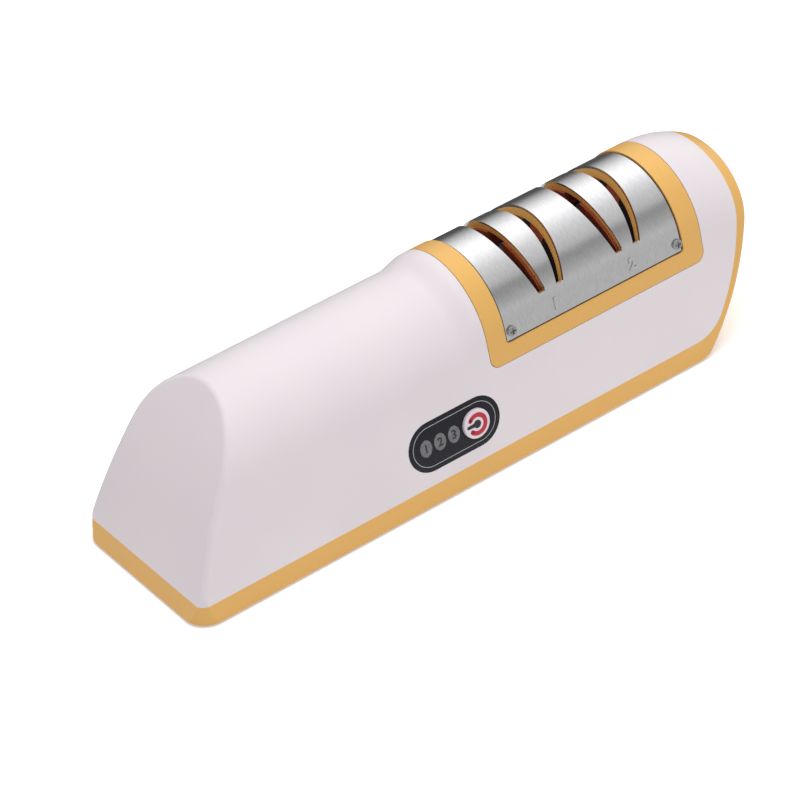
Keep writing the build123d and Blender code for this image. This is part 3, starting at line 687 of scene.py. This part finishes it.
deselect()
bpy.ops.mesh.primitive_plane_add(size=RING_WIDTH)
ring = start_edit(bpy.context.object, "power_ring")
pick(lambda at: at.y > 0)
bpy.ops.mesh.delete(type="VERT")
bpy.ops.mesh.select_all(action="SELECT")
bpy.ops.transform.translate(value=(RING_RADIUS, RING_WIDTH / 2, 0))
bpy.ops.mesh.spin(steps=56, angle=math.radians(RING_TURN), center=(0, 0, 0), axis=(0, 0, 1))
for turn in (0.0, -math.radians(RING_TURN)):          # a spin goes clockwise
    radial = Vector((math.cos(turn), math.sin(turn), 0))
    middle = RING_RADIUS * radial
    corners = [middle + radial * (RING_WIDTH / 2 * s) for s in (-1, 1)]
    pick(lambda at: min((at - corner).length for corner in corners) < ON_AXIS)
    bpy.ops.mesh.spin(steps=12, angle=math.pi, center=middle, axis=(0, 0, 1))
give_thickness(INK)
red_ink = ink("red_ink", (0.56, 0.022, 0.040))
lay(ring, button_matrix @ Matrix.Rotation(math.radians(RING_TURN / 2), 4, "Z"), red_ink, "button")

# %% Dot and bar
DOT_RADIUS, BAR_WIDTH, BAR_END = 1.5, 1.35, 4.3

deselect()
bpy.ops.mesh.primitive_circle_add(vertices=48, radius=DOT_RADIUS, fill_type="NGON")
dot = start_edit(bpy.context.object, "power_dot")
pick(lambda at: at.x < 0 and abs(at.y) < BAR_WIDTH / 2 + 2 * ON_AXIS)
bpy.ops.transform.resize(value=(0, 1, 1), center_override=(0, 0, 0))
bpy.ops.transform.translate(value=(-BAR_END, 0, 0))
give_thickness(INK)
black_ink = ink("black_ink", (0.010, 0.014, 0.022))
lay(dot, button_matrix, black_ink, "button")

# %% [markdown]
# ### Numbers
#
# The three windows and the two stages carry plain numbers. A number starts as text, because a font already
# has good outlines. It is made a mesh before it is laid down, since text has no mesh to put a place into.

# %% Helper for numbers
CAP_HEIGHT = 0.73              # a figure is this much of its font's size


def number(name, figure, height, thickness, bevel=0.0, bold=0.0):
    """A figure as a mesh, centred on its own middle, that tall and thick, in millimetres."""
    deselect()
    bpy.ops.object.text_add()
    text = bpy.context.object
    text.data.body = figure
    text.data.size = height / CAP_HEIGHT
    text.data.extrude = thickness / 2
    text.data.bevel_depth = bevel
    text.data.bevel_resolution = 2
    text.data.offset = bold
    text.data.resolution_u = 10
    text.select_set(True)
    bpy.ops.object.convert(target="MESH")
    piece = bpy.context.object
    low, high = (Vector(map(end, zip(*(v.co for v in piece.data.vertices)))) for end in (min, max))
    middle = (low + high) / 2
    piece.data.transform(Matrix.Translation((-middle.x, -middle.y, -low.z)))
    start_edit(piece, name)
    close_up()
    return piece


# %% Numbers in the windows
WINDOW_FIRST, WINDOW_PITCH = -11.96, 5.9    # from the panel's middle
window_ink = ink("window_ink", (0.012, 0.013, 0.016))
for index, figure in enumerate("123"):
    mark = number("window_" + figure, figure, height=3.4, thickness=INK, bold=0.07)
    offset = Matrix.Translation((WINDOW_FIRST + WINDOW_PITCH * index, 0, 0))
    lay(mark, panel_matrix @ offset, window_ink, "housing")

# %% [markdown]
# ### Stage numbers in the cover
#
# A stamp pushes these up from behind, so they are the cover's own steel, with soft shoulders and a slightly
# duller skin. Each stands under its own pair of slots, sunk a little into the plate so that no gap shows.

# %% Stage numbers
STAMP_STATIONS, STAMP_HEIGHT = (160.9, 194.9), 47.6
STAMP_SUNK = 0.1
cover_low, cover_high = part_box("steel_cover")
COVER_DEPTH = (cad_box[1][2] - cover_high.z) / MM     # the plate lies this far below the housing's skin

stamped = finish("stamped_steel", (0.66, 0.66, 0.67), 0.3, metallic=1.0)
sheen(stamped, noise(stamped, 5.0), 0.22, 0.40)
grain(stamped, noise(stamped, 6.0), 0.004, 0.4)
for figure, station in zip("12", STAMP_STATIONS):
    mark = number("stage_" + figure, figure, height=4.6, thickness=0.3, bevel=0.12, bold=0.06)
    lay(mark, wall_frame(station, STAMP_HEIGHT, -COVER_DEPTH - STAMP_SUNK), stamped, "housing")

# %% [markdown]
# ### The cover's painted shade line
#
# A thin dark strip round the bright steel is painted shade and painted reflection: it stands for the shadow
# of the gap beside the pressed plate, and for the dark gap that the plate's rounded edge mirrors. Over the
# arch the strip is one short edge drawn out from point to point of the section. Along a wall it is a plain
# thin rectangle. Both lie a few hundredths above the plate.

# %% The arched section
CREST = cad_box[1][2] / MM - FEET
COVER_START, COVER_END = (x / MM + HALF_LENGTH for x in (cover_low.x, cover_high.x))
COVER_FOOT = cover_low.z / MM - FEET


def section_points(depth, steps=48):
    """Points of the section at a depth, from the cover's foot in front over the crest to its foot behind."""
    top, half = CREST - depth, HALF_WIDTH - depth / math.cos(LEAN)
    radius = (half - TAPER * top) * math.cos(LEAN) / (1 - math.sin(LEAN))
    reach = math.pi / 2 - LEAN
    turns = [reach * (2 * i / steps - 1) for i in range(steps + 1)]
    arch = [Vector((0, radius * math.sin(t), top - radius + radius * math.cos(t) + FEET)) for t in turns]
    foot = half - TAPER * COVER_FOOT
    return [Vector((0, -foot, COVER_FOOT + FEET)), *arch, Vector((0, foot, COVER_FOOT + FEET))]


print("cover from", round(COVER_START, 1), "to", round(COVER_END, 1), "mm")

# %% Painted shade line over the arch
SHADE_LINE_WIDTH, SHADE_LINE_LIFT = 0.34, 0.03
# the strip's dark colour is painted shade and painted reflection along the cover's edge
painted_shade_line = finish("painted_shade_line", (0.05, 0.035, 0.028), 0.4, metallic=0.5)
tint(painted_shade_line, noise(painted_shade_line, 2.0), (0.04, 0.028, 0.022), (0.07, 0.05, 0.04))
path = section_points(COVER_DEPTH - SHADE_LINE_LIFT)
for name, station in (("shade_line_left", COVER_START + SHADE_LINE_WIDTH / 2), ("shade_line_right", COVER_END - SHADE_LINE_WIDTH / 2)):
    deselect()
    bpy.ops.mesh.primitive_plane_add(size=1.0)
    shade_strip = start_edit(bpy.context.object, name)
    pick(lambda at: at.y > 0)
    bpy.ops.mesh.delete(type="VERT")
    bpy.ops.mesh.select_all(action="SELECT")
    bpy.ops.transform.translate(value=(0, 0.5, 0))
    bpy.ops.transform.resize(value=(SHADE_LINE_WIDTH, 1, 1), center_override=(0, 0, 0))
    bpy.ops.transform.translate(value=path[0])
    for here, there in zip(path, path[1:]):
        bpy.ops.mesh.extrude_region_move(TRANSFORM_OT_translate={"value": there - here})
    bpy.ops.object.mode_set(mode="OBJECT")
    lay(shade_strip, Matrix.Scale(MM, 4) @ Matrix.Translation((station - HALF_LENGTH, 0, 0)), painted_shade_line, "housing")

# %% Painted shade line along the walls
CORNER_ROOM = 1.6              # the corners are rounded, so these strips end short of them
for name, side in (("shade_line_front", -1), ("shade_line_back", 1)):
    deselect()
    bpy.ops.mesh.primitive_plane_add(size=1.0)
    shade_strip = start_edit(bpy.context.object, name)
    bpy.ops.mesh.select_all(action="SELECT")
    bpy.ops.transform.resize(value=(COVER_END - COVER_START - CORNER_ROOM, SHADE_LINE_WIDTH, 1),
                             center_override=(0, 0, 0))
    bpy.ops.object.mode_set(mode="OBJECT")
    middle = ((COVER_START + COVER_END) / 2, COVER_FOOT + SHADE_LINE_WIDTH / 2)
    lay(shade_strip, wall_frame(*middle, SHADE_LINE_LIFT - COVER_DEPTH, side), painted_shade_line, "housing")
